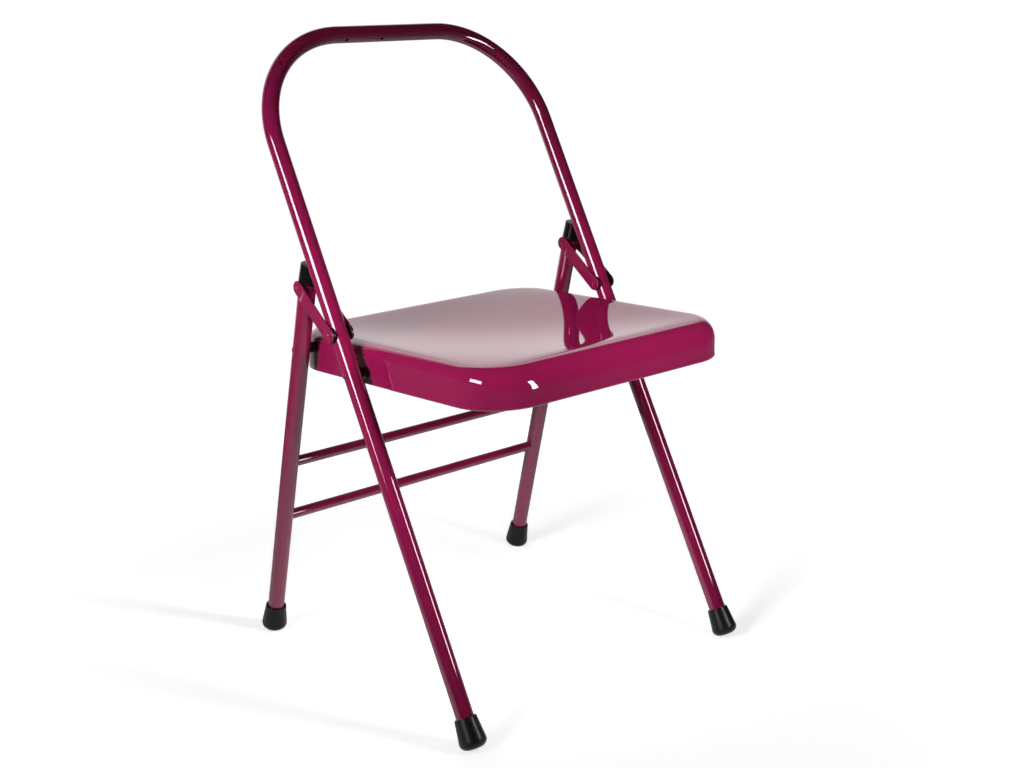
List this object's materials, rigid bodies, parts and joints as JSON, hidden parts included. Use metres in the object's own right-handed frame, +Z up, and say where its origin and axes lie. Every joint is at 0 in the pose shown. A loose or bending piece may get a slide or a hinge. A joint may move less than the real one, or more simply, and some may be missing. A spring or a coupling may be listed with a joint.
{
  "type": "folding yoga chair",
  "caption": "Folding steel chair for seated yoga, with an open hooped back, a pressed metal seat, a leaning rear frame on links, and rubber foot caps.",
  "frame": {"origin": "on the floor, at the middle of the open chair's bounding box", "axes": "+X across the chair to its right-hand side seen from the front, the chair faces -Y, +Z up"},
  "size_m": [0.4776, 0.4608, 0.7973],
  "materials": {
    "paint": "glossy plum powder coat",
    "rubber": "smooth black rubber",
    "plastic": "satin black plastic"
  },
  "bodies": {
    "front_frame": {"front_frame_tube": "paint", "left_front_foot_cap": "rubber", "left_seat_front_rivet": "paint", "left_seat_front_spacer": "plastic", "left_link_foot_rivet": "paint", "left_outer_link_spacer": "plastic", "left_inner_link_spacer": "plastic", "right_front_foot_cap": "rubber", "right_seat_front_rivet": "paint", "right_seat_front_spacer": "plastic", "right_link_foot_rivet": "paint", "right_outer_link_spacer": "plastic", "right_inner_link_spacer": "plastic"},
    "seat": {"seat_pan": "paint", "left_seat_rear_rivet_tail": "paint", "right_seat_rear_rivet_tail": "paint"},
    "left_links": {"left_outer_link": "paint", "left_inner_link": "paint"},
    "right_links": {"right_outer_link": "paint", "right_inner_link": "paint"},
    "rear_frame": {"upper_stretcher": "paint", "lower_stretcher": "paint", "left_rear_leg": "paint", "left_rear_foot_cap": "rubber", "left_rear_leg_plug": "plastic", "left_seat_rear_rivet": "paint", "left_seat_rear_spacer": "plastic", "left_link_top_rivet": "paint", "right_rear_leg": "paint", "right_rear_foot_cap": "rubber", "right_rear_leg_plug": "plastic", "right_seat_rear_rivet": "paint", "right_seat_rear_spacer": "plastic", "right_link_top_rivet": "paint"}
  },
  "joints": [
    {"name": "seat_fold", "type": "hinge", "parent": "front_frame", "child": "seat", "pos_m": [0, 0.00532, 0.40432], "axis": [-1, 0, 0], "range_deg": [0, 105]},
    {"name": "left_link_turn", "type": "hinge", "parent": "front_frame", "child": "left_links", "pos_m": [-0.22065, 0.03074, 0.44968], "axis": [-1, 0, 0], "range_deg": [0, 128]},
    {"name": "right_link_turn", "type": "hinge", "parent": "front_frame", "child": "right_links", "pos_m": [0.22065, 0.03074, 0.44968], "axis": [-1, 0, 0], "range_deg": [0, 128]},
    {"name": "rear_frame_turn", "type": "hinge", "parent": "left_links", "child": "rear_frame", "pos_m": [-0.22066, 0.09512, 0.49684], "axis": [1, 0, 0], "range_deg": [0, 85.6]}
  ],
  "couplings": [
    {"joint": "left_link_turn", "follows": "seat_fold", "ratio": 1.2182},
    {"joint": "right_link_turn", "follows": "seat_fold", "ratio": 1.2182},
    {"joint": "rear_frame_turn", "follows": "seat_fold", "ratio": 0.81442}
  ]
}
